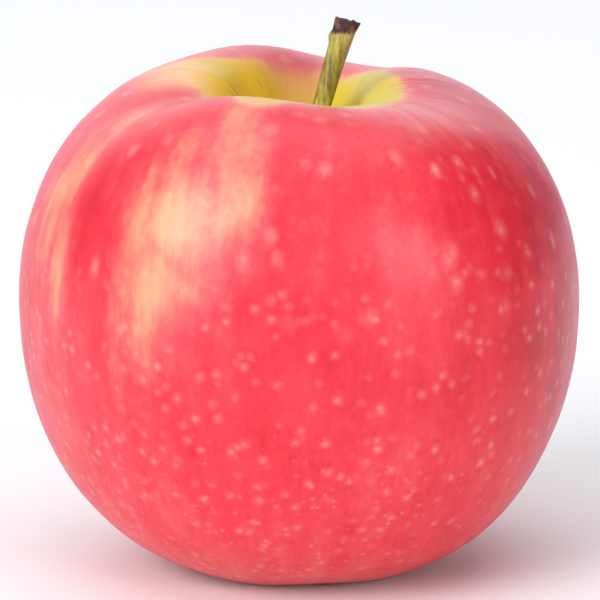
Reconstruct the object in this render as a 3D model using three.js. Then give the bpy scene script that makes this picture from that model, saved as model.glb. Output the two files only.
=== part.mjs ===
// A whole ripe apple standing on its calyx end. Millimetres, +Z up.
// The origin is on the surface that the apple rests on, under the middle of the fruit.
// Azimuths are in degrees, counted from +X towards +Y.
//
// Pieces: the fruit (one closed body), the woody stem in the stem cavity, five dried
// sepals round the eye underneath, and the dried tuft of stamens in the calyx tube.
import * as THREE from "three";
import { LoftGeometry } from "three/addons/geometries/LoftGeometry.js";

// ---------------------------------------------------------------- driving dimensions

// Fruit: the widest ring, the rim round the stem cavity and the crown that it stands on.
const fruitRadius = 39;
const equatorHeight = 37.1;
const rimHeight = 68.8;
const rimRadius = 18.3;
const crownRadius = 11;

// How full each stretch of the outline is: 0 cuts the corner, 1 fills it.
const flankFullness = { low: 0.43, high: 0.675 };
const shoulderFullness = { low: 0.68, high: 0.51 };

// Stem cavity: a funnel with its throat on the fruit's axis.
const cavityDepth = 14;
const cavityFullness = { rim: 0.6, throat: 0.3, depth: 0.6 };
const throatEase = 1.5;
const stemSocketDepth = 3;

// Calyx basin: a hollow underneath, with the calyx tube in the middle of its roof.
const basinDepth = 8.5;
const basinFullness = { roof: 0.35, crown: 0.5 };
const calyxTubeRadius = 2.4;
const calyxTubeDepth = 4.5;

// Five lobes, plain round the rim and under the crown, and faint on the flank.
const lobeCount = 5;
const lobeAzimuth = 27;
const rimLobeRise = 0.47;
const flankLobeRise = 0.75;
const crownNotchDepth = 0.8;
const crownNotchReach = 0.3;
const crownFlat = 0.4;

// The fruit grew unevenly. Each wave has its number of crests round the axis, its
// height and the azimuth of a crest.
const rimHeightWaves = [
  { crests: 1, rise: 1.37, azimuth: 122 },
  { crests: 2, rise: 0.74, azimuth: 106 },
  { crests: 3, rise: 0.9, azimuth: 18 },
];
const rimWidthWave = { crests: 2, rise: 2.3, azimuth: 83 };
const rimShift = -0.86;
const flankWidthWave = { crests: 2, rise: 0.57, azimuth: 25 };

// Stem: it leans, bends a little and widens to its cut end, with a bud scar below it.
const stemLength = 26;
const stemFootRadius = 1.2;
const stemTopRadius = 1.65;
const stemLean = 14;
const stemLeanAzimuth = 8;
const stemBend = 0.8;
const budScar = { rise: 0.4, fromTop: 2.4, halfLength: 1.1, azimuth: 175 };

// Dried sepals, hanging round the mouth of the calyx tube and curling outwards.
const sepalCount = 5;
const sepalLength = 4.7;
const sepalWidth = 3;
const sepalThickness = 0.5;
const sepalTip = 0.25;
const sepalCurl = 70;
const sepalSetback = 1.2;

// Dried stamens: a short brush that fills the calyx tube and shows at its mouth.
const tuftShowing = 1.1;
const tuftRuffle = 0.12;
const tuftRuffleCount = 7;

// The space left between pieces that touch.
const seatGap = 0.3;

// How finely the surfaces are divided.
const fruitSides = 60;
const stemSides = 16;
const sepalSides = 10;
const tuftSides = 28;
const basinSteps = 9;
const flankSteps = 17;
const shoulderSteps = 16;
const cavitySteps = 14;
const stemSteps = 20;
const sepalSteps = 8;
const tuftSteps = 6;

// ---------------------------------------------------------------- places that follow

const throatHeight = rimHeight - cavityDepth;
const socketRadius = stemFootRadius + seatGap;
const throatRadius = socketRadius + throatEase;
const sepalRingRadius = calyxTubeRadius + sepalSetback;
const basinRoofRadius = sepalRingRadius + sepalThickness / 2 + seatGap;

// ---------------------------------------------------------------- shared helpers

const radians = THREE.MathUtils.degToRad;
const mix = THREE.MathUtils.lerp;
const up = new THREE.Vector3(0, 0, 1);

// 0 to 1 with level ends.
function ease(share) {
  return THREE.MathUtils.smoothstep(share, 0, 1);
}

// The point at a radius and an azimuth in radians, at a height.
function polar(radius, azimuth, height) {
  return new THREE.Vector3(radius * Math.cos(azimuth), radius * Math.sin(azimuth), height);
}

// Evenly spaced azimuths in radians, one for each side of a ring.
function turns(sides) {
  return Array.from({ length: sides }, (_, side) => (side / sides) * 2 * Math.PI);
}

// Shares from 0 to 1 in equal steps, both ends included.
function shares(steps) {
  return Array.from({ length: steps + 1 }, (_, step) => step / steps);
}

function wave({ crests, rise, azimuth: crest }, azimuth) {
  return rise * Math.cos(crests * (azimuth - radians(crest)));
}

// A closed body through rings, each counted anticlockwise when seen from the last one.
function cappedLoft(rings) {
  return new LoftGeometry(rings, { capStart: true, capEnd: true });
}

function piece(name, geometry, colour, roughness) {
  const material = new THREE.MeshStandardMaterial({ color: colour, roughness, metalness: 0 });
  const mesh = new THREE.Mesh(geometry, material);
  mesh.name = name;
  return mesh;
}

// ---------------------------------------------------------------- fruit

// A stretch of the fruit's outline is a cubic curve through [radius, height] points.
// Each of its stations also says how much of the rim's, flank's and crown's unevenness
// it takes, from 0 to 1.
function stretch(points, steps, shareOf) {
  const curve = new THREE.CubicBezierCurve(...points.map((point) => new THREE.Vector2(...point)));
  return shares(steps).map((share) => {
    const point = curve.getPoint(share);
    return { radius: point.x, height: point.y, rim: 0, flank: 0, crown: 0, ...shareOf(share) };
  });
}

// The calyx tube, from the middle of its end, and the basin's roof as far as its wall.
function calyxTube() {
  const top = basinDepth + calyxTubeDepth;
  const outline = [
    [0, top],
    [calyxTubeRadius, top],
    [calyxTubeRadius, (top + basinDepth) / 2],
    [calyxTubeRadius, basinDepth],
    [(calyxTubeRadius + basinRoofRadius) / 2, basinDepth],
  ];
  return outline.map(([radius, height]) => ({ radius, height, rim: 0, flank: 0, crown: 0 }));
}

// From the basin's roof down its wall to the crown.
function basinWall() {
  const width = crownRadius - basinRoofRadius;
  const points = [
    [basinRoofRadius, basinDepth],
    [basinRoofRadius + basinFullness.roof * width, basinDepth],
    [crownRadius - basinFullness.crown * width, 0],
    [crownRadius, 0],
  ];
  return stretch(points, basinSteps, (share) => ({ crown: ease(share) }));
}

// From the crown out and up to the widest ring. The crown's notches fade within
// crownNotchReach of the way.
function flank() {
  const points = [
    [crownRadius, 0],
    [mix(crownRadius, fruitRadius, flankFullness.low), 0],
    [fruitRadius, equatorHeight * (1 - flankFullness.high)],
    [fruitRadius, equatorHeight],
  ];
  return stretch(points, flankSteps, (share) => ({
    flank: ease(share),
    crown: 1 - ease(Math.min(share / crownNotchReach, 1)),
  }));
}

// From the widest ring over the shoulder to the rim of the stem cavity.
function shoulder() {
  const points = [
    [fruitRadius, equatorHeight],
    [fruitRadius, mix(equatorHeight, rimHeight, shoulderFullness.low)],
    [mix(rimRadius, fruitRadius, shoulderFullness.high), rimHeight],
    [rimRadius, rimHeight],
  ];
  return stretch(points, shoulderSteps, (share) => ({ rim: ease(share), flank: 1 - ease(share) }));
}

// From the rim down the funnel to its throat.
function cavityWall() {
  const width = rimRadius - throatRadius;
  const points = [
    [rimRadius, rimHeight],
    [rimRadius - cavityFullness.rim * width, rimHeight],
    [throatRadius + cavityFullness.throat * width, rimHeight - cavityFullness.depth * cavityDepth],
    [throatRadius, throatHeight],
  ];
  return stretch(points, cavitySteps, (share) => ({ rim: 1 - ease(share) }));
}

// One ring of the fruit at a station, with the lobes and the uneven growth on it.
function fruitRing({ radius, height, rim, flank, crown }) {
  return turns(fruitSides).map((azimuth) => {
    const lobe = Math.cos(lobeCount * (azimuth - radians(lobeAzimuth)));
    const rimRise = rimHeightWaves.reduce((sum, each) => sum + wave(each, azimuth), 0);
    const flankRise = wave(flankWidthWave, azimuth) + flankLobeRise * lobe;
    const notch = (crownNotchDepth * (1 - lobe)) / 2;
    const ringRadius = radius + rim * wave(rimWidthWave, azimuth) + flank * flankRise;
    const raised = height + rim * (rimRise + rimLobeRise * lobe) + crown * notch;
    const settled = Math.max(raised - crown * crownFlat, 0);
    return polar(ringRadius, azimuth, settled).add(new THREE.Vector3(rim * rimShift, 0, 0));
  });
}

// The socket lies square to the stem that stands in it, down to the middle of its floor.
function stemSocket() {
  const mouth = stemSocketDepth - throatEase / 2;
  const outline = [
    [socketRadius, mouth],
    [socketRadius, mouth / 2],
    [socketRadius, 0],
    [0, 0],
  ];
  return outline.map(([radius, distance]) => stemRing(distance, fruitSides, () => radius));
}

function fruit() {
  const outline = [
    ...calyxTube(),
    ...basinWall(),
    ...flank().slice(1),
    ...shoulder().slice(1),
    ...cavityWall().slice(1),
  ];
  const rings = [...outline.map(fruitRing), ...stemSocket()];
  return piece("fruit", new LoftGeometry(rings), 0xe8465a, 0.35);
}

// ---------------------------------------------------------------- stem

// The middle of the stem at a distance along it from the floor of its socket. The line
// of its foot meets the fruit's axis at the throat.
function stemCentre(distance) {
  const lean = radians(stemLean);
  const out = polar(1, radians(stemLeanAzimuth), 0);
  const along = distance - stemSocketDepth;
  const bend = stemBend * (distance / stemLength) ** 3;
  return new THREE.Vector3(0, 0, throatHeight)
    .addScaledVector(out, along * Math.sin(lean) + bend)
    .addScaledVector(up, along * Math.cos(lean));
}

// A ring square to the stem at a distance from its socket's floor, with a radius for
// each azimuth.
function stemRing(distance, sides, radiusAt) {
  const leanAxis = polar(1, radians(stemLeanAzimuth + 90), 0);
  const centre = stemCentre(distance);
  return turns(sides).map((azimuth) =>
    polar(radiusAt(azimuth), azimuth, 0).applyAxisAngle(leanAxis, radians(stemLean)).add(centre),
  );
}

// How much of the bud scar's swelling there is at a distance and an azimuth.
function scarShare(distance, azimuth) {
  const away = (distance - (stemLength - budScar.fromTop)) / budScar.halfLength;
  const facing = Math.cos(azimuth - radians(budScar.azimuth));
  return Math.max(1 - away * away, 0) * Math.max(facing, 0) ** 3;
}

function stem() {
  const rings = shares(stemSteps).map((share) => {
    const distance = mix(seatGap, stemLength, share);
    const radius = mix(stemFootRadius, stemTopRadius, share ** 3);
    const radiusAt = (azimuth) => radius + budScar.rise * scarShare(distance, azimuth);
    return stemRing(distance, stemSides, radiusAt);
  });
  return piece("stem", cappedLoft(rings), 0x9a8f3a, 0.6);
}

// ---------------------------------------------------------------- sepals

// A sepal hangs from the basin's roof and curls outwards along an arc. Its rings are
// flat ovals that narrow to the tip.
function sepalRing(share, azimuth) {
  const curl = radians(sepalCurl);
  const arcRadius = sepalLength / curl;
  const angle = share * curl;
  const out = polar(1, azimuth, 0);
  const across = polar(1, azimuth + Math.PI / 2, 0);
  const faceNormal = out.clone().multiplyScalar(Math.cos(angle)).addScaledVector(up, Math.sin(angle));
  const reach = sepalRingRadius + arcRadius * (1 - Math.cos(angle));
  const centre = polar(reach, azimuth, basinDepth - seatGap - arcRadius * Math.sin(angle));
  const width = mix(sepalWidth, sepalTip, share ** 1.6);
  const thickness = mix(sepalThickness, sepalTip, share);
  return turns(sepalSides).map((turn) =>
    centre
      .clone()
      .addScaledVector(across, (width / 2) * Math.cos(turn))
      .addScaledVector(faceNormal, (thickness / 2) * Math.sin(turn)),
  );
}

function sepal(index) {
  const azimuth = radians(lobeAzimuth) + (index / sepalCount) * 2 * Math.PI;
  const rings = shares(sepalSteps).map((share) => sepalRing(share, azimuth));
  return piece(`sepal_${index + 1}`, cappedLoft(rings), 0x6b5236, 0.85);
}

// ---------------------------------------------------------------- stamen tuft

// From just below the tube's end down to a frayed mouth that shows under the roof.
function stamenTuft() {
  const radius = calyxTubeRadius - seatGap;
  const top = basinDepth + calyxTubeDepth - seatGap;
  const bottom = basinDepth - tuftShowing;
  const rings = shares(tuftSteps).map((share) => {
    const height = mix(bottom, top, share);
    const ruffle = tuftRuffle * (1 - share);
    return turns(tuftSides).map((azimuth) => {
      const trim = ruffle * (1 - Math.cos(tuftRuffleCount * azimuth));
      return polar(radius - trim, azimuth, height);
    });
  });
  return piece("stamen_tuft", cappedLoft(rings), 0x4a3826, 0.9);
}

// ---------------------------------------------------------------- the whole apple

const apple = new THREE.Group();
apple.name = "apple";
apple.add(fruit());
apple.add(stem());
for (let index = 0; index < sepalCount; index += 1) {
  apple.add(sepal(index));
}
apple.add(stamenTuft());

// Uneven growth leaves the fruit a little off its axis, so the whole apple moves to put
// the middle of its box over the origin.
const middle = new THREE.Box3().setFromObject(apple).getCenter(new THREE.Vector3());
apple.position.set(-middle.x, -middle.y, 0);

export default apple;
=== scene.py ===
"""The looks of a whole ripe apple: its own meshes, materials, light and camera.

Everything is in metres, +Z up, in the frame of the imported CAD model. Each piece here
stands for one CAD node and takes its place and size from that node's mesh:
the fruit, the woody stem, five dried sepals in the basin, and the dried stamens.
Inside the materials and the mesh code, lengths are in millimetres.
"""

import math

import bmesh
import bpy
import numpy as np
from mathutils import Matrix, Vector, noise


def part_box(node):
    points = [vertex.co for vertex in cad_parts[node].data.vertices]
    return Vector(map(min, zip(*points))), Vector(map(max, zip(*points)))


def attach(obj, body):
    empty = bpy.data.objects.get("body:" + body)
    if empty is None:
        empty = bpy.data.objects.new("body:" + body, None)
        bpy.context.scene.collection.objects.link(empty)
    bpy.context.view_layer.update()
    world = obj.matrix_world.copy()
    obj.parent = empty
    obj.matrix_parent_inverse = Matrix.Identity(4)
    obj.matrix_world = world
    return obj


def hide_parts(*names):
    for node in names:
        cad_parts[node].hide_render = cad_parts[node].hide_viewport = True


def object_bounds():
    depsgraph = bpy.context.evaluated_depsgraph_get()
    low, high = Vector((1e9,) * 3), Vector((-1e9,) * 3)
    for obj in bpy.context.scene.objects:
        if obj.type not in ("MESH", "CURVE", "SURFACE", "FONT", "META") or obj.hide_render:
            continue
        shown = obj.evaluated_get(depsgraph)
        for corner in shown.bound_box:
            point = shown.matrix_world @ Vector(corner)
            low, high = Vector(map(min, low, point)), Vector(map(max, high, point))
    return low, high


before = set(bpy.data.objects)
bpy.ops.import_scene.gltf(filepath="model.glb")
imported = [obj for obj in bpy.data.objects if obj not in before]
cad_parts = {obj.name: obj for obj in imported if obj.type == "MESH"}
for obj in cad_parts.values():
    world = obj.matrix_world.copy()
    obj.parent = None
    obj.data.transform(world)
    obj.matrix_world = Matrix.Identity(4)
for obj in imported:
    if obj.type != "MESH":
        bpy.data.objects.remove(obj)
cad_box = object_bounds()

MM = 0.001


# ---------------------------------------------------------------- places from the frame


def middle(node):
    """The middle of a CAD node's box, in millimetres."""
    low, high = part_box(node)
    return (low + high) / 2 / MM


def node_points(node):
    """A CAD node's separate vertices, in millimetres."""
    points = np.array([vertex.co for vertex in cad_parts[node].data.vertices]) / MM
    return np.unique(points.round(4), axis=0)


# The fruit's own axis is upright through its calyx tube, a little off the origin.
AXIS = middle("stamen_tuft")
# The stem stands in a socket at the throat of the stem cavity.
SOCKET_DEPTH = 3
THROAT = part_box("stem")[0].z / MM + SOCKET_DEPTH


# ---------------------------------------------------------------- shared mesh helpers


# Each seed takes its noise or its dots from another place, this far on for each count.
SEED_STEP = (31.7, 17.3, 7.9)


def smoothstep(start, end, value):
    """0 up to start and 1 from end on, with a smooth change between them."""
    share = np.clip((value - start) / (end - start), 0, 1)
    return share * share * (3 - 2 * share)


def grain(points, size, seed=0):
    """Smooth noise from -1 to 1 at each point, with features about size across."""
    shift = Vector([seed * step for step in SEED_STEP])
    return np.array([noise.noise(Vector(point) / size + shift) for point in points])


def near_azimuth(azimuth, crest, half_turn):
    """1 at an azimuth in degrees, fading to 0 at half_turn to either side of it."""
    away = np.abs((azimuth - crest + 180) % 360 - 180)
    return 1 - smoothstep(0, half_turn, away)


def add_piece(name, mesh, material, slot, *nodes):
    """Shows a mesh in place of CAD nodes, with the given material. The slot argument is not used."""
    piece = bpy.data.objects.new(name, mesh)
    bpy.context.scene.collection.objects.link(piece)
    piece.data.materials.clear()
    piece.data.materials.append(material)
    for face in piece.data.polygons:
        face.use_smooth = True
    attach(piece, "root")
    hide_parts(*nodes)
    return piece


def mesh_from(name, points, faces):
    """A mesh from points in millimetres."""
    mesh = bpy.data.meshes.new(name)
    mesh.from_pydata([Vector(point) * MM for point in points], [], faces)
    mesh.update()
    return mesh


def tube_faces(rings, sides, first=0):
    """Quads between neighbouring rings of points that are listed ring after ring."""
    faces = []
    for ring in range(rings - 1):
        for side in range(sides):
            low = first + ring * sides + side
            low_next = first + ring * sides + (side + 1) % sides
            faces.append((low, low_next, low_next + sides, low + sides))
    return faces


# ---------------------------------------------------------------- shared material helpers


def srgb(red, green, blue):
    """A colour as it is seen, 0 to 255, as the linear colour that a shader takes."""
    shares = [channel / 255 for channel in (red, green, blue)]
    linear = [s / 12.92 if s <= 0.04045 else ((s + 0.055) / 1.055) ** 2.4 for s in shares]
    return (*linear, 1)


class Wire:
    """A number inside a material, so that node maths reads as a formula."""

    def __init__(self, tree, socket):
        self.tree = tree
        self.socket = socket

    def plug(self, operation, *values):
        """The result of a maths node on the values."""
        node = self.tree.nodes.new("ShaderNodeMath")
        node.operation = operation
        for socket, value in zip(node.inputs, values):
            connect(self.tree, value, socket)
        return Wire(self.tree, node.outputs[0])

    def __add__(self, other):
        return self.plug("ADD", self, other)

    def __radd__(self, other):
        return self.plug("ADD", other, self)

    def __sub__(self, other):
        return self.plug("SUBTRACT", self, other)

    def __rsub__(self, other):
        return self.plug("SUBTRACT", other, self)

    def __mul__(self, other):
        return self.plug("MULTIPLY", self, other)

    def __truediv__(self, other):
        return self.plug("DIVIDE", self, other)

    def __pow__(self, other):
        return self.plug("POWER", self, other)

    def arccos(self):
        return self.plug("ARCCOSINE", self)

    def or_more(self, other):
        return self.plug("MAXIMUM", self, other)

    def or_less(self, other):
        return self.plug("MINIMUM", self, other)


def connect(tree, value, socket):
    """Sets a socket to a constant, or links a wire or another socket to it."""
    if isinstance(value, Wire):
        tree.links.new(value.socket, socket)
    elif isinstance(value, bpy.types.NodeSocket):
        tree.links.new(value, socket)
    else:
        socket.default_value = value


class Paint:
    """A material in the making. All of its lengths are in millimetres: place is a point in
    the shared frame, x, y and radius are counted from the fruit's axis, and z from the
    floor. East and north say which way a point lies from the axis."""

    def __init__(self, name):
        self.material = bpy.data.materials.new(name)
        self.material.use_nodes = True
        self.tree = self.material.node_tree
        self.shader = self.tree.nodes["Principled BSDF"]
        place = self.tree.nodes.new("ShaderNodeTexCoord").outputs["Object"]
        self.place = self.vector_math("SCALE", place, scale=1 / MM)
        split = self.tree.nodes.new("ShaderNodeSeparateXYZ")
        connect(self.tree, self.place, split.inputs[0])
        self.x = Wire(self.tree, split.outputs[0]) - AXIS.x
        self.y = Wire(self.tree, split.outputs[1]) - AXIS.y
        self.z = Wire(self.tree, split.outputs[2])
        self.radius = (self.x ** 2 + self.y ** 2) ** 0.5
        self.east = self.x / self.radius.or_more(0.01)
        self.north = self.y / self.radius.or_more(0.01)

    def facing_east(self):
        """How squarely the surface faces +X, from -1 to 1."""
        split = self.tree.nodes.new("ShaderNodeSeparateXYZ")
        normal = self.tree.nodes.new("ShaderNodeNewGeometry").outputs["Normal"]
        connect(self.tree, normal, split.inputs[0])
        return Wire(self.tree, split.outputs[0])

    def vector_math(self, operation, first, second=None, scale=None):
        node = self.tree.nodes.new("ShaderNodeVectorMath")
        node.operation = operation
        connect(self.tree, first, node.inputs[0])
        if second is not None:
            connect(self.tree, second, node.inputs[1])
        if scale is not None:
            connect(self.tree, scale, node.inputs["Scale"])
        return node.outputs[0]

    def vector(self, x, y, z):
        node = self.tree.nodes.new("ShaderNodeCombineXYZ")
        for socket, value in zip(node.inputs, (x, y, z)):
            connect(self.tree, value, socket)
        return node.outputs[0]

    def noise(self, place, size, detail=2.0, seed=0.0):
        """Noise from 0 to 1, mostly near 0.5, with features about size across."""
        node = self.tree.nodes.new("ShaderNodeTexNoise")
        node.noise_dimensions = "4D"
        connect(self.tree, place, node.inputs["Vector"])
        node.inputs["Scale"].default_value = 1 / size
        node.inputs["Detail"].default_value = detail
        node.inputs["W"].default_value = seed
        return Wire(self.tree, node.outputs["Fac"])

    def dots(self, place, spacing, seed=0.0):
        """The distance to the nearest of points scattered about spacing apart."""
        node = self.tree.nodes.new("ShaderNodeTexVoronoi")
        shifted = self.vector_math("ADD", place, [seed * step for step in SEED_STEP])
        connect(self.tree, shifted, node.inputs["Vector"])
        node.inputs["Scale"].default_value = 1 / spacing
        return Wire(self.tree, node.outputs["Distance"]) * spacing

    def fade(self, value, start, end):
        """0 at start and 1 at end, with a smooth change between them."""
        node = self.tree.nodes.new("ShaderNodeMapRange")
        node.interpolation_type = "SMOOTHSTEP"
        connect(self.tree, value, node.inputs["Value"])
        flip = start > end
        node.inputs["From Min"].default_value = min(start, end)
        node.inputs["From Max"].default_value = max(start, end)
        node.inputs["To Min"].default_value = 1.0 if flip else 0.0
        node.inputs["To Max"].default_value = 0.0 if flip else 1.0
        return Wire(self.tree, node.outputs["Result"])

    def ramp(self, value, stops):
        """A colour for each value, through (value, colour) stops."""
        node = self.tree.nodes.new("ShaderNodeValToRGB")
        connect(self.tree, value, node.inputs[0])
        elements = node.color_ramp.elements
        while len(elements) < len(stops):
            elements.new(1.0)
        for element, (position, colour) in zip(elements, stops):
            element.position = position
            element.color = colour
        return node.outputs[0]

    def blend(self, share, under, over):
        """A colour between two, from under at share 0 to over at share 1."""
        node = self.tree.nodes.new("ShaderNodeMix")
        node.data_type = "RGBA"
        connect(self.tree, share, node.inputs[0])
        # The node's colour sockets follow those for numbers and vectors.
        connect(self.tree, under, node.inputs[6])
        connect(self.tree, over, node.inputs[7])
        return node.outputs[2]

    def angle_from(self, azimuth):
        """Degrees round the axis between a point and an azimuth."""
        east = math.cos(math.radians(azimuth))
        north = math.sin(math.radians(azimuth))
        cosine = (self.east * east + self.north * north).or_less(1.0).or_more(-1.0)
        return cosine.arccos() * (180 / math.pi)

    def sector(self, azimuth, outer, inner, rag=0.0):
        """1 within inner degrees of an azimuth and 0 from outer degrees on, with the edge
        between them made ragged by rag degrees."""
        return self.fade(self.angle_from(azimuth) + rag, outer, inner)

    def bump(self, height, depth):
        """Turns a height from 0 to 1 into relief depth millimetres deep."""
        node = self.tree.nodes.new("ShaderNodeBump")
        node.inputs["Strength"].default_value = 1.0
        node.inputs["Distance"].default_value = depth * MM
        connect(self.tree, height, node.inputs["Height"])
        self.tree.links.new(node.outputs[0], self.shader.inputs["Normal"])

    def set(self, **inputs):
        """Sets or links shader inputs, named in lower case with underscores."""
        for name, value in inputs.items():
            words = {each.name.lower().replace(" ", "_"): each for each in self.shader.inputs}
            connect(self.tree, value, words[name])


# ---------------------------------------------------------------- skin


# Azimuths on the fruit, in degrees from +X towards +Y. The rim of the stem cavity dips at
# a saddle on each side.
RIGHT_SADDLE = 4
LEFT_SADDLE = 163
RIGHT_SHOULDER = -8
FRONT_RIM = -88
BACK_WALL = 97


class Patch:
    """An oval on the flank, in degrees round the axis and millimetres of height. Its edge
    fades out over soft times its size, to either side."""

    def __init__(self, azimuth, height, half_turn, half_height, soft=0.5, strength=1.0):
        self.azimuth = azimuth
        self.height = height
        self.half_turn = half_turn
        self.half_height = half_height
        self.soft = soft
        self.strength = strength

    def share(self, paint, rag):
        """Its strength inside, fading to 0 across an edge made ragged by the noise rag."""
        turned = paint.angle_from(self.azimuth) / self.half_turn
        raised = (paint.z - self.height) / self.half_height
        away = (turned * turned + raised * raised) ** 0.5 + rag
        return paint.fade(away, 1 + self.soft, 1 - self.soft) * self.strength


def patches(paint, rag, ovals):
    """The share of the strongest of several patches."""
    total = ovals[0].share(paint, rag)
    for oval in ovals[1:]:
        total = total.or_more(oval.share(paint, rag))
    return total


# Where the blush is thin and the cream ground shows through.
CREAM = [
    Patch(-117, 55, 11, 8, 0.9, 0.9),
    Patch(-105, 60, 7, 8, 1.0, 0.75),
    Patch(-121, 47.5, 9, 8, 0.9, 0.8),
    Patch(-106, 69, 6, 4, 0.9, 0.75),
    Patch(-157, 57, 9, 9, 0.8, 0.85),
    Patch(-150, 48, 4.5, 8, 0.8, 0.8),
    Patch(52, 46, 15, 17, 1.0, 0.75),
    Patch(82, 58, 8, 10, 1.0, 0.8),
    Patch(128, 40, 9, 15, 1.0, 0.6),
]

# Where the blush is deepest; the patches on the right side, away from the key light, also darken it as
# painted shade.
CRIMSON_AND_SHADE = [
    Patch(-40, 55, 18, 9, 0.8, 0.8),
    Patch(-32, 43, 22, 16, 0.8, 1.3),
    Patch(-84, 38, 22, 9, 1.0, 0.5),
    Patch(-22, 39, 12, 18, 0.9, 1.4),
    Patch(-142, 53, 6, 10, 1.0, 0.7),
]

# Painted shade and painted reflection: the red turns cooler and duller on the sides of the fruit, as
# shade on the right side, away from the key light, and as a cool tint of reflected light at both
# edges.
SIDE_SHADE_AND_REFLECTION = [
    Patch(-2, 36, 22, 34, 0.8),
    Patch(178, 34, 24, 36, 0.9, 0.5),
]

# How far from the axis the yellow of the stem cavity reaches, and where it reaches
# further or less far: the azimuth, the degrees to either side where that starts and
# where it is full, and the millimetres.
CAVITY_REACH = 14.4
CAVITY_REACHES = [
    (LEFT_SADDLE - 3, 30, 6, 3.5),
    (FRONT_RIM, 62, 22, 4.8),
    (FRONT_RIM - 18, 18, 4, 2.6),
    (48, 22, 6, 1.6),
    (BACK_WALL, 20, 5, -2.6),
]


class Growth:
    """How the skin grew: the noises, about -0.5 to 0.5, and the regions, 0 to 1, that its
    colours share."""

    def __init__(self, paint):
        self.top = paint.fade(paint.z, 46, 52)
        self.shoulder = paint.fade(paint.z, 61.5, 69)
        self.right = paint.sector(RIGHT_SHOULDER, 62, 26)

        # Streaks follow the meridians, over the shoulder and down into the cavity.
        fine_way = paint.vector(paint.east * 15, paint.north * 15, paint.z * 0.05)
        broad_way = paint.vector(paint.east * 5, paint.north * 5, paint.z * 0.03)
        flecks_way = paint.vector_math("MULTIPLY", paint.place, (1, 1, 0.55))
        self.fine = (paint.noise(fine_way, 1, detail=3) - 0.5) * (1 - self.shoulder * 0.45)
        self.broad = paint.noise(broad_way, 1, detail=2, seed=3) - 0.5
        self.flecks = paint.noise(flecks_way, 0.8, detail=3, seed=50) - 0.5
        self.mottle = paint.noise(paint.place, 6, detail=5, seed=8) - 0.5
        self.cloud = paint.noise(paint.place, 17, detail=1, seed=5) - 0.5

        self.cream = patches(paint, self.fine * 0.45 + self.mottle * 0.9 + self.cloud * 0.5, CREAM)
        self.cavity = self.cavity_share(paint)
        self.hollow = self.cavity.or_more(self.basin_share(paint))
        self.open_skin = paint.fade(self.cavity, 0.7, 0.1)

    def cavity_share(self, paint):
        """The stem cavity stays yellow as far as an uneven edge near its rim."""
        reach = CAVITY_REACH + self.fine * 3.5 + self.mottle * 4 + self.cloud * 5
        for azimuth, outer, inner, further in CAVITY_REACHES:
            reach = reach + paint.sector(azimuth, outer, inner) * further
        return paint.fade(paint.radius - reach, 3.6, -3.5) * self.top

    def basin_share(self, paint):
        """The roof of the basin underneath is yellow too."""
        ragged = paint.radius + self.fine * 2 + self.mottle * 5 + self.cloud * 8
        return paint.fade(ragged, 15.5, 7.5) * paint.fade(paint.z, 30, 24)


def blush(paint, growth):
    """The ground and the red over it, from bare skin to the deepest red."""
    # The deepest red is partly painted shade on the right side, away from the key light.
    deep_red_and_shade = patches(paint, growth.fine * 0.5 + growth.mottle * 0.4 + growth.cloud * 0.4, CRIMSON_AND_SHADE)
    density = 0.68 + growth.broad * 0.36 + growth.fine * 0.32
    density = density + growth.mottle * 0.44 + growth.cloud * 0.26
    density = density - growth.cream * 0.56 + deep_red_and_shade * 0.22 - paint.fade(paint.z, 12, 2) * 0.12
    density = density + growth.flecks * (0.36 - growth.cream * 0.24 - deep_red_and_shade * 0.16)
    density = density - growth.hollow * 0.95

    cream_ground = srgb(226, 161, 120)
    golden = srgb(214, 170, 26)
    green = srgb(204, 184, 42)
    greener = paint.fade(growth.cloud + paint.east * 0.5, -0.2, 0.22)
    hollow_ground = paint.blend(greener, golden, green)
    ground = paint.blend(growth.hollow, cream_ground, hollow_ground)
    red = paint.ramp(
        density,
        [
            (0.05, srgb(226, 160, 120)),
            (0.28, srgb(226, 126, 102)),
            (0.48, srgb(226, 84, 85)),
            (0.66, srgb(226, 54, 68)),
            (0.84, srgb(216, 34, 53)),
            (1.00, srgb(190, 20, 40)),
        ],
    )
    return paint.blend(paint.fade(density, 0.02, 0.34), ground, red)


def bloom_and_reflection(paint, growth, colour):
    """A pale, greyish tint lies on the shoulder and the rim, duskier towards the back: partly the
    skin's waxy coating and partly painted reflection of the pale surround on the upward-facing
    shoulder. The sides of the fruit are tinged a cool, dull red as painted shade and painted
    reflection."""
    front = paint.sector(-122, 78, 38)
    # Partly painted reflection: the pale tint is strongest on the right shoulder and weaker on the
    # front-left.
    share = growth.shoulder * (0.44 + growth.fine * (1.0 + growth.right * 2.6) + growth.mottle * 1.2)
    share = share * (1 - front * 0.85) * growth.open_skin
    behind = paint.sector(60, 100, 40)
    bloom_and_reflection_colour = paint.blend(behind, srgb(226, 158, 162), srgb(202, 128, 140))
    colour = paint.blend(share, colour, bloom_and_reflection_colour)
    # Painted shade and painted reflection: a cool, dull red on the sides of the fruit.
    side_shade_and_reflection = patches(paint, growth.mottle * 0.5 + growth.cloud * 0.4, SIDE_SHADE_AND_REFLECTION)
    return paint.blend(side_shade_and_reflection * (0.5 + growth.fine * 1.6) * growth.open_skin, colour, srgb(184, 66, 100))


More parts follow.
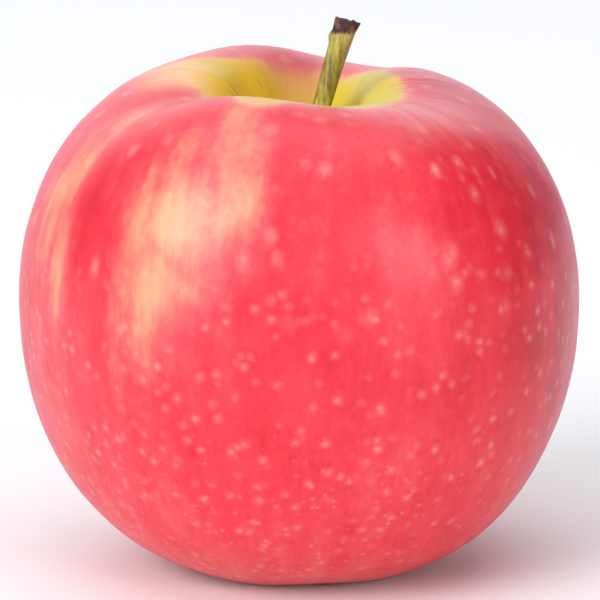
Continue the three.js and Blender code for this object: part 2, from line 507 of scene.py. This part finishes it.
def rim_tints(paint, growth, colour):
    """The left saddle of the rim is peach, the back of the rim dusky and the wall of the
    cavity below it tan."""
    radius = paint.radius
    peach = paint.sector(LEFT_SADDLE + 5, 25, 7, growth.mottle * 16)
    peach = peach * paint.fade(radius + growth.fine * 6, 26, 17) * paint.fade(radius, 11, 17)
    colour = paint.blend(peach * growth.top * 0.85, colour, srgb(230, 186, 142))
    dusky = paint.sector(BACK_WALL - 3, 18, 4, growth.mottle * 14) * paint.fade(radius, 22, 17)
    colour = paint.blend(dusky * growth.top * 0.6, colour, srgb(180, 76, 88))
    tan = paint.sector(BACK_WALL, 34, 10) * paint.fade(radius + growth.fine * 8, 16.5, 12)
    tan_colour = paint.ramp(radius / 16, [(0.6, srgb(188, 144, 16)), (0.85, srgb(188, 116, 56))])
    return paint.blend(tan * growth.top * (0.8 + growth.fine * 1.8), colour, tan_colour)


def lenticels(paint, growth):
    """The share of the skin's pale dots: small and close towards the foot, larger and
    sparser on the shoulder. All but the smallest have a soft halo."""
    z = paint.z
    wander = paint.noise(paint.place, 0.9, detail=1, seed=33) - 0.5
    low_dots = paint.dots(paint.place, 2.5) + wander * 0.7
    high_place = paint.vector_math("MULTIPLY", paint.place, (1, 1, 0.7))
    high_dots = paint.dots(high_place, 4.4, seed=2) + wander * 0.9
    foot_dots = paint.dots(paint.place, 1.8, seed=6) + wander * 0.3
    low_share = paint.fade(z, 58, 40)
    high_share = paint.fade(z, 34, 50) * (1 - growth.cavity)
    foot_share = paint.fade(z, 34, 8)
    halo = paint.fade(low_dots, 1.1, 0.0) * low_share * 0.3
    halo = halo.or_more(paint.fade(high_dots, 1.6, 0.0) * high_share * (0.36 + growth.fine * 0.9))
    core = paint.fade(low_dots, 0.42, 0.05) * low_share * 0.22
    core = core.or_more(paint.fade(high_dots, 0.45, 0.1) * high_share * 0.2)
    core = core.or_more(paint.fade(foot_dots, 0.5, 0.1) * foot_share * 0.34)

    # On the right shoulder they are drawn out into dashes.
    dash_place = paint.vector(paint.east * 38, paint.north * 38, z * 0.45 - paint.radius * 0.45)
    dashes = paint.fade(paint.dots(dash_place, 2.8, seed=9) + wander * 0.6, 0.9, 0.1)
    halo = halo.or_more(dashes * growth.right * paint.fade(z, 52, 60) * growth.open_skin * 0.36)

    vivid = 0.35 + paint.noise(paint.place, 4, detail=1, seed=30) * 1.3
    return (halo + core) * vivid * (1 - growth.cream * 0.6)


def brown_lines(paint, growth):
    """The shares of two sets of fine brown lines: russet at the throat, on the cavity's
    walls and in the basin, and scuffs on the right saddle."""
    radius = paint.radius
    lines_way = paint.vector(paint.east * 28, paint.north * 28, paint.z * 0.25)
    lines = paint.noise(lines_way, 1, detail=5, seed=12)
    near_throat = paint.fade(radius, 8.5, 3) * growth.top
    left_wall = paint.sector(LEFT_SADDLE, 26, 8) * growth.top
    left_wall = left_wall * paint.fade(radius + growth.mottle * 8, 14, 9)
    russet = lines + near_throat * 0.14 + left_wall * 0.08 + growth.mottle * 0.5
    russet = paint.fade(russet, 0.6, 0.74) * growth.hollow
    on_saddle = paint.sector(RIGHT_SADDLE, 26, 6) * growth.top
    on_saddle = on_saddle * paint.fade(radius, 26, 19) * paint.fade(radius, 10, 15)
    scuffs = on_saddle * paint.fade(lines + growth.mottle * 0.3, 0.47, 0.58)
    return russet, scuffs


def skin():
    paint = Paint("apple_skin")
    growth = Growth(paint)
    colour = blush(paint, growth)
    colour = bloom_and_reflection(paint, growth, colour)
    colour = rim_tints(paint, growth, colour)
    spots = lenticels(paint, growth)
    colour = paint.blend(spots, colour, srgb(232, 150, 142))
    pores = paint.fade(paint.dots(paint.place, 6.5, seed=4), 0.3, 0.14) * growth.cream
    colour = paint.blend(pores * 0.55, colour, srgb(150, 96, 60))
    russet, scuffs = brown_lines(paint, growth)
    colour = paint.blend(russet * 0.5, colour, srgb(134, 104, 44))
    colour = paint.blend(scuffs * 0.6, colour, srgb(150, 104, 84))

    grainy = paint.noise(paint.place, 1.3, detail=2, seed=20)
    paint.bump(grainy * 0.5 + growth.fine * 0.5 - spots * 0.25, 0.035)
    paint.set(
        base_color=colour,
        roughness=0.4 + growth.mottle * 0.12 + russet * 0.3,
        ior=1.45,
        specular_ior_level=0.42,
        coat_weight=0.12,
        coat_roughness=0.2,
        subsurface_weight=0.06,
        subsurface_radius=(1.0, 0.35, 0.2),
        subsurface_scale=0.003,
    )
    return paint.material


# ---------------------------------------------------------------- fruit


# Waves on the flank and ribs on the rim, in millimetres from their middle.
BROAD_WAVE = 0.22
SMALL_WAVE = 0.07
RIM_RIB = 0.03
SADDLE_RIB = 0.11

# The flesh closes in to this distance from the stem's middle, from as far out as this.
HUG_RADIUS = 1.12
HUG_REACH = 2.6


def smooth_copy(node, levels):
    """A CAD node's mesh, welded, turned into quads and subdivided."""
    form = bmesh.new()
    form.from_mesh(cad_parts[node].data)
    bmesh.ops.remove_doubles(form, verts=form.verts, dist=0.001 * MM)
    angle = math.radians(60)
    bmesh.ops.join_triangles(
        form, faces=form.faces, angle_face_threshold=angle, angle_shape_threshold=angle
    )
    mesh = bpy.data.meshes.new(node + "_form")
    form.to_mesh(mesh)
    form.free()
    holder = bpy.data.objects.new(node + "_form", mesh)
    bpy.context.scene.collection.objects.link(holder)
    holder.modifiers.new("smooth", "SUBSURF").levels = levels
    graph = bpy.context.evaluated_depsgraph_get()
    smooth = bpy.data.meshes.new_from_object(holder.evaluated_get(graph))
    bpy.data.objects.remove(holder)
    return smooth


def uneven(points, normals):
    """The fruit's points moved in and out: shallow waves on the flank, and ribs that run
    over the rim into the stem cavity, strongest at its saddles."""
    offset = points[:, :2] - np.array(AXIS[:2])
    radius = np.hypot(offset[:, 0], offset[:, 1])
    height = points[:, 2]
    way = offset / np.maximum(radius, 0.01)[:, None]

    flank = smoothstep(9, 16, radius) * smoothstep(0.5, 8, height)
    waves = BROAD_WAVE * grain(points, 13, 1) + SMALL_WAVE * grain(points, 5, 2)

    turning = np.column_stack([way * 19, height * 0.02])
    ribs = grain(turning, 1, 3)
    rim = smoothstep(5, 12, radius) * (1 - smoothstep(19, 29, radius)) * smoothstep(55, 62, height)
    azimuth = np.degrees(np.arctan2(way[:, 1], way[:, 0]))
    saddle = near_azimuth(azimuth, RIGHT_SADDLE, 26) + near_azimuth(azimuth, LEFT_SADDLE, 24)
    strength = RIM_RIB + SADDLE_RIB * saddle
    return points + normals * (flank * waves + rim * ribs * strength)[:, None]


def closed_round_stem(points):
    """The fruit's points with the flesh drawn in round the stem at the throat."""
    stem_foot, stem_way = stem_line()
    along = (points - stem_foot) @ stem_way
    out = points - stem_foot - along[:, None] * stem_way
    gap = np.linalg.norm(out, axis=1)
    hug = (along < SOCKET_DEPTH + 0.3) & (gap < HUG_REACH) & (points[:, 2] > THROAT - 4)
    tighter = np.minimum(1, HUG_RADIUS / np.maximum(gap, 0.01))
    eased = 1 - (1 - tighter) * (1 - smoothstep(HUG_REACH - 1, HUG_REACH, gap))
    return points - out * (1 - np.where(hug, eased, 1))[:, None]


def fruit():
    """The fruit's skin: the CAD body made smooth, with uneven growth and fine ribs."""
    mesh = smooth_copy("fruit", levels=2)
    points = np.array([vertex.co for vertex in mesh.vertices]) / MM
    normals = np.array([vertex.normal for vertex in mesh.vertices])
    points = closed_round_stem(uneven(points, normals))
    points[:, 2] = np.maximum(points[:, 2], 0)
    mesh.vertices.foreach_set("co", (points * MM).astype(np.float32).ravel())
    mesh.update()
    return add_piece("apple_fruit", mesh, skin(), "skin", "fruit")


# ---------------------------------------------------------------- stem


STEM_STATIONS = 220
STEM_SIDES = 96

# The CAD stem's rings are further apart than this in height, in millimetres, and this
# many of them from its foot give the direction that the foot points in.
RING_GAP = 0.3
FOOT_RINGS = 4

# The stem's relief in millimetres, with places round it in degrees.
STEM_RIDGE = 0.075
STEM_FIBRE = 0.03
FURROW_DEPTH = 0.2
FURROW_ANGLE = 238
SCAR_RISE = 0.16
SCAR_ANGLE = 178
FLARE_RISE = 0.16
CUT_DEPTH = 0.3


def stem_rings():
    """The CAD stem's rings of points, from its foot up."""
    points = node_points("stem")
    points = points[np.argsort(points[:, 2])]
    breaks = np.flatnonzero(np.diff(points[:, 2]) > RING_GAP) + 1
    return np.split(points, breaks)


def stem_line():
    """The middle of the stem's foot and the direction that the foot points in."""
    centres = [ring.mean(axis=0) for ring in stem_rings()]
    way = centres[FOOT_RINGS] - centres[0]
    return centres[0], way / np.linalg.norm(way)


def stem_wood():
    paint = Paint("stem_wood")
    grain_way = paint.vector_math("MULTIPLY", paint.place, (1, 1, 0.12))
    fibre = paint.noise(grain_way, 0.45, detail=5)
    blotch = paint.noise(paint.place, 1.6, detail=3, seed=4)
    shade = paint.ramp(
        fibre * 0.6 + blotch * 0.4,
        [
            (0.34, srgb(92, 74, 28)),
            (0.44, srgb(136, 118, 40)),
            (0.52, srgb(162, 148, 54)),
            (0.64, srgb(190, 180, 98)),
        ],
    )
    bark = paint.ramp(
        blotch,
        [(0.4, srgb(30, 14, 18)), (0.54, srgb(66, 30, 34)), (0.68, srgb(130, 88, 62))],
    )
    # Both sides are painted darker brown by which way they face, as painted shade, strongest on the
    # side that faces +X, away from the key light; the cut end is dark.
    facing = paint.facing_east()
    stem_side_shade = paint.fade(facing + fibre * 0.5, 0.75, 1.15) * 0.75
    stem_side_shade = stem_side_shade.or_more(paint.fade(facing + fibre * 0.4, -0.45, -0.75) * 0.45)
    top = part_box("stem")[1].z / MM
    cut = paint.fade(paint.z + fibre * 1.6, top - 1.5, top - 0.9)
    colour = paint.blend(stem_side_shade, shade, srgb(126, 88, 42))
    colour = paint.blend(cut, colour, bark)
    paint.bump(fibre, 0.12)
    paint.set(base_color=colour, roughness=0.42 + cut * 0.4, coat_weight=0.15, coat_roughness=0.25)
    return paint.material


def stem_relief(turn, share):
    """How far the stem's surface stands out at each angle round it, at a share of its
    length: ridges, a furrow up the lower half of its front, the bud scar, the flared end."""
    marks = np.column_stack([np.cos(turn) * 2.2, np.sin(turn) * 2.2, np.full(len(turn), share * 3)])
    ridges = STEM_RIDGE * grain(marks, 1, 5) + STEM_FIBRE * grain(marks * (3, 3, 4), 1, 6)
    from_furrow = (turn - math.radians(FURROW_ANGLE)) / 0.17
    furrow = -FURROW_DEPTH * np.exp(-(from_furrow**2)) * (1 - smoothstep(0.45, 0.75, share))
    from_scar = (share - 0.9) / 0.035
    scar_side = np.maximum(np.cos(turn - math.radians(SCAR_ANGLE)), 0) ** 6
    scar = SCAR_RISE * max(1 - from_scar**2, 0) * scar_side
    flare = FLARE_RISE * smoothstep(0.93, 1.0, share) * (1 + 0.3 * np.sin(3 * turn + 1))
    return ridges * (0.4 + 0.6 * share) + furrow + scar + flare


def stem():
    """A ridged, furrowed twig with a bud scar and a flared, ragged cut end."""
    rings = stem_rings()
    centres = np.array([ring.mean(axis=0) for ring in rings])
    _, way = stem_line()
    # The two directions across the stem, square to the way that its foot points in.
    east = np.cross(np.cross(way, (1, 0, 0)), way)
    east /= np.linalg.norm(east)
    north = np.cross(way, east)
    lengths = np.linspace(0, 1, STEM_STATIONS)
    known = np.linspace(0, 1, len(rings))
    radii = [np.linalg.norm(ring - centre, axis=1).mean() for ring, centre in zip(rings, centres)]
    spine = np.column_stack([np.interp(lengths, known, centres[:, axis]) for axis in range(3)])
    girth = np.interp(lengths, known, radii)
    turn = np.linspace(0, 2 * np.pi, STEM_SIDES, endpoint=False)
    points = []
    for share, centre, radius in zip(lengths, spine, girth):
        reach = radius + stem_relief(turn, share)
        ring = np.outer(reach * np.cos(turn), east) + np.outer(reach * np.sin(turn), north)
        points.append(centre + ring)
    # The cut end: rings that step inwards over a broken, sunken face.
    last = points[-1]
    middle_top = last.mean(axis=0)
    for inward in (0.9, 0.75, 0.55, 0.35, 0.15):
        ring = middle_top + (last - middle_top) * inward
        rough = grain(ring, 0.55, 7) * 0.28 - CUT_DEPTH * (1 - inward)
        points.append(ring + np.outer(rough, way))
    points[STEM_STATIONS - 1] = last + np.outer(0.16 * grain(last, 0.7, 8), way)
    total = len(points)
    flat = np.concatenate(points + [[middle_top - way * CUT_DEPTH], [points[0].mean(axis=0)]])
    faces = tube_faces(total, STEM_SIDES)
    tip = total * STEM_SIDES
    end = (total - 1) * STEM_SIDES
    faces += [(end + side, end + (side + 1) % STEM_SIDES, tip) for side in range(STEM_SIDES)]
    faces += [((side + 1) % STEM_SIDES, side, tip + 1) for side in range(STEM_SIDES)]
    mesh = mesh_from("apple_stem", flat, faces)
    return add_piece("apple_stem", mesh, stem_wood(), "stem_wood", "stem")


# ---------------------------------------------------------------- dried calyx


SEPAL_COUNT = 5
SEPAL_ROWS = 26
SEPAL_COLUMNS = 17
SEPAL_THICKNESS = 0.22

THREAD_COUNT = 26
THREAD_SIDES = 7
THREAD_STEPS = 12
THREAD_RADIUS = 0.15
# How far a thread strays by its tip, and how far inside the tube's wall the outer ones are.
THREAD_STRAY = 0.5
THREAD_INSET = 0.3


def dry_leaf():
    paint = Paint("dried_sepal")
    veins = paint.noise(paint.place, 0.5, detail=5)
    blotch = paint.noise(paint.place, 1.5, detail=3, seed=4)
    colour = paint.ramp(
        veins * 0.5 + blotch * 0.5,
        [
            (0.36, srgb(58, 38, 22)),
            (0.48, srgb(104, 76, 44)),
            (0.56, srgb(138, 112, 70)),
            (0.66, srgb(168, 148, 104)),
        ],
    )
    paint.bump(veins, 0.1)
    paint.set(base_color=colour, roughness=0.85)
    return paint.material


def sepal(index, material):
    """A dried leaf that hangs from the basin's roof, curls outwards and is torn at its edge."""
    node = f"sepal_{index + 1}"
    low, high = (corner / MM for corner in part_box(node))
    points = node_points(node)
    centre = points.mean(axis=0)
    out = np.array([centre[0] - AXIS.x, centre[1] - AXIS.y, 0])
    out /= np.linalg.norm(out)
    across = np.array([-out[1], out[0], 0])
    reaches = (points - np.array(AXIS)) @ out
    root = reaches.min() + 0.2
    reach = reaches.max() - root - 0.1
    drop = high.z - low.z - 0.1
    width = (points @ across).max() - (points @ across).min()
    grid = []
    for row in range(SEPAL_ROWS):
        along = row / (SEPAL_ROWS - 1)
        bend = along * math.pi / 2
        half = width / 2 * (1 - along**1.7) ** 0.7
        for column in range(SEPAL_COLUMNS):
            side = column / (SEPAL_COLUMNS - 1) * 2 - 1
            torn = 1 + 0.16 * noise.noise(Vector((index * 5 + 9 * along, side * 2, 0)))
            cup = 0.5 * side * side * (0.3 + along)
            wrinkle = 0.16 * noise.noise(Vector((index * 7 + 5 * along, side * 3, 2)))
            rib = 0.08 * math.exp(-((side / 0.18) ** 2))
            spread = root + reach * (1 - math.cos(bend)) - cup * 0.5 + wrinkle
            hang = high.z - drop * math.sin(bend) + rib * 0.5 + cup * 0.25
            place = np.array([AXIS.x, AXIS.y, 0]) + out * spread + across * side * half * torn
            place[2] = hang
            grid.append(place)
    faces = []
    for row in range(SEPAL_ROWS - 1):
        for column in range(SEPAL_COLUMNS - 1):
            first = row * SEPAL_COLUMNS + column
            above = first + SEPAL_COLUMNS
            faces.append((first, first + 1, above + 1, above))
    mesh = mesh_from(node, grid, faces)
    piece = add_piece("apple_" + node, mesh, material, "dried_sepal", node)
    shell = piece.modifiers.new("thickness", "SOLIDIFY")
    shell.thickness = SEPAL_THICKNESS * MM
    shell.offset = 0
    return piece


def dry_thread():
    paint = Paint("dried_stamen")
    blotch = paint.noise(paint.place, 0.6, detail=3)
    colour = paint.ramp(
        blotch,
        [(0.36, srgb(36, 24, 16)), (0.5, srgb(82, 58, 34)), (0.64, srgb(142, 110, 66))],
    )
    paint.bump(blotch, 0.08)
    paint.set(base_color=colour, roughness=0.9)
    return paint.material


def thread_point(index, share, home, length, high):
    """A point on a filament's middle, from its root at share 0 to its tip at share 1."""
    # Sunflower order spreads the threads evenly over the tube.
    turn = index * math.pi * (3 - math.sqrt(5))
    stray_x = noise.noise(Vector((index, share * 2, 5)))
    stray_y = noise.noise(Vector((index, share * 2, 9)))
    x = AXIS.x + home * math.cos(turn) + THREAD_STRAY * stray_x * share
    y = AXIS.y + home * math.sin(turn) + THREAD_STRAY * stray_y * share
    return x, y, high.z - 0.05 - length * share


def stamens():
    """A tuft of dry filaments, each with its shrivelled anther, in the calyx tube."""
    low, high = (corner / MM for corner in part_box("stamen_tuft"))
    tube = (high.x - low.x) / 2
    points = []
    faces = []
    for index in range(THREAD_COUNT):
        home = (tube - THREAD_INSET) * math.sqrt((index + 0.5) / THREAD_COUNT)
        length = high.z - low.z - 0.25 * (1 + noise.noise(Vector((index, 0, 0))))
        first = len(points)
        for step in range(THREAD_STEPS):
            share = step / (THREAD_STEPS - 1)
            x, y, z = thread_point(index, share, home, length, high)
            anther = 0.13 * math.exp(-(((share - 0.93) / 0.06) ** 2))
            thick = THREAD_RADIUS + anther + 0.1 * (1 - share)
            for side in range(THREAD_SIDES):
                angle = 2 * math.pi * side / THREAD_SIDES
                dented = thick * (1 + 0.25 * math.sin(2 * angle + index))
                points.append((x + dented * math.cos(angle), y - dented * math.sin(angle), z))
        last = first + (THREAD_STEPS - 1) * THREAD_SIDES
        faces += tube_faces(THREAD_STEPS, THREAD_SIDES, first)
        faces.append(tuple(first + side for side in reversed(range(THREAD_SIDES))))
        faces.append(tuple(last + side for side in range(THREAD_SIDES)))
    mesh = mesh_from("apple_stamens", points, faces)
    return add_piece("apple_stamens", mesh, dry_thread(), "dried_stamen", "stamen_tuft")


# ---------------------------------------------------------------- stage


STAGE_RADIUS = 3.5
# The floor lies this many millimetres under the apple, so that they share no surface.
FLOOR_DROP = 0.02
LIGHT_DISTANCE = 4.0
COOL_WHITE = (0.98, 0.995, 1.03)

# The camera's angle above level in degrees, its distance in metres and its lens.
CAMERA_ELEVATION = 11
CAMERA_DISTANCE = 0.6
CAMERA_LENS = 256.5
# The point in the middle of its view.
CAMERA_AIM = Vector((0.0001, 0, 0.0377))


def floor():
    """A plain pale floor, wide enough to fill the view."""
    bpy.ops.mesh.primitive_circle_add(
        vertices=64, radius=STAGE_RADIUS, fill_type="NGON", location=(0, 0, -FLOOR_DROP * MM)
    )
    ground = bpy.context.object
    ground.name = "floor"
    material = bpy.data.materials.new("floor")
    material.use_nodes = True
    shader = material.node_tree.nodes["Principled BSDF"]
    shader.inputs["Base Color"].default_value = (0.9, 0.9, 0.9, 1)
    shader.inputs["Roughness"].default_value = 0.9
    shader.inputs["Specular IOR Level"].default_value = 0.1
    ground.data.materials.append(material)


def backdrop():
    """A plain pale wall round the floor, which is seen but throws no light."""
    bpy.ops.mesh.primitive_cylinder_add(
        vertices=96, radius=STAGE_RADIUS, depth=STAGE_RADIUS, end_fill_type="NOTHING"
    )
    wall = bpy.context.object
    wall.name = "backdrop"
    material = bpy.data.materials.new("backdrop")
    material.use_nodes = True
    shader = material.node_tree.nodes["Principled BSDF"]
    shader.inputs["Base Color"].default_value = (0, 0, 0, 1)
    shader.inputs["Specular IOR Level"].default_value = 0
    shader.inputs["Emission Color"].default_value = (1, 1, 1, 1)
    shader.inputs["Emission Strength"].default_value = 1.0
    wall.data.materials.append(material)
    wall.visible_diffuse = False
    wall.visible_glossy = False
    wall.visible_shadow = False


def sky(strength):
    """An even, cool white light from all round."""
    world = bpy.data.worlds.new("studio")
    world.use_nodes = True
    background = world.node_tree.nodes["Background"]
    background.inputs["Color"].default_value = (*COOL_WHITE, 1)
    background.inputs["Strength"].default_value = strength
    bpy.context.scene.world = world


def softbox(name, azimuth, elevation, size, glow):
    """A square light that faces the middle of the apple, hidden from the camera. Its
    glow is how bright it alone makes a white surface that faces it, from 0 to 1."""
    target = Vector((0, 0, cad_box[1].z / 2))
    turn = math.radians(azimuth)
    lift = math.radians(elevation)
    way = Vector((math.cos(turn) * math.cos(lift), math.sin(turn) * math.cos(lift), math.sin(lift)))
    light = bpy.data.lights.new(name, "AREA")
    light.size = size
    light.color = COOL_WHITE
    light.energy = glow * (math.pi * LIGHT_DISTANCE) ** 2
    lamp = bpy.data.objects.new(name, light)
    lamp.location = target + way * LIGHT_DISTANCE
    lamp.rotation_mode = "QUATERNION"
    lamp.rotation_quaternion = (-way).to_track_quat("-Z", "Y")
    lamp.visible_camera = False
    bpy.context.scene.collection.objects.link(lamp)


def camera():
    """Looks along +Y and a little down."""
    elevation = math.radians(CAMERA_ELEVATION)
    back = Vector((0, -math.cos(elevation), math.sin(elevation)))
    eye = bpy.data.objects.new("camera", bpy.data.cameras.new("camera"))
    eye.data.lens = CAMERA_LENS
    eye.data.sensor_width = 36
    eye.data.clip_end = 100
    eye.location = CAMERA_AIM + back * CAMERA_DISTANCE
    eye.rotation_mode = "QUATERNION"
    eye.rotation_quaternion = (-back).to_track_quat("-Z", "Y")
    bpy.context.scene.collection.objects.link(eye)
    bpy.context.scene.camera = eye


def studio():
    floor()
    backdrop()
    sky(strength=0.19)
    softbox("key", azimuth=-132, elevation=26, size=2.6, glow=0.84)
    softbox("side", azimuth=-48, elevation=15, size=1.3, glow=0.26)
    softbox("fill", azimuth=-98, elevation=8, size=4.0, glow=0.14)
    softbox("top", azimuth=-100, elevation=82, size=5.0, glow=0.76)
    softbox("wall", azimuth=100, elevation=14, size=5.0, glow=0.5)
    camera()
    bpy.context.scene.view_settings.view_transform = "Standard"


# ---------------------------------------------------------------- the whole apple

fruit()
stem()
leaf = dry_leaf()
for number in range(SEPAL_COUNT):
    sepal(number, leaf)
stamens()
studio()
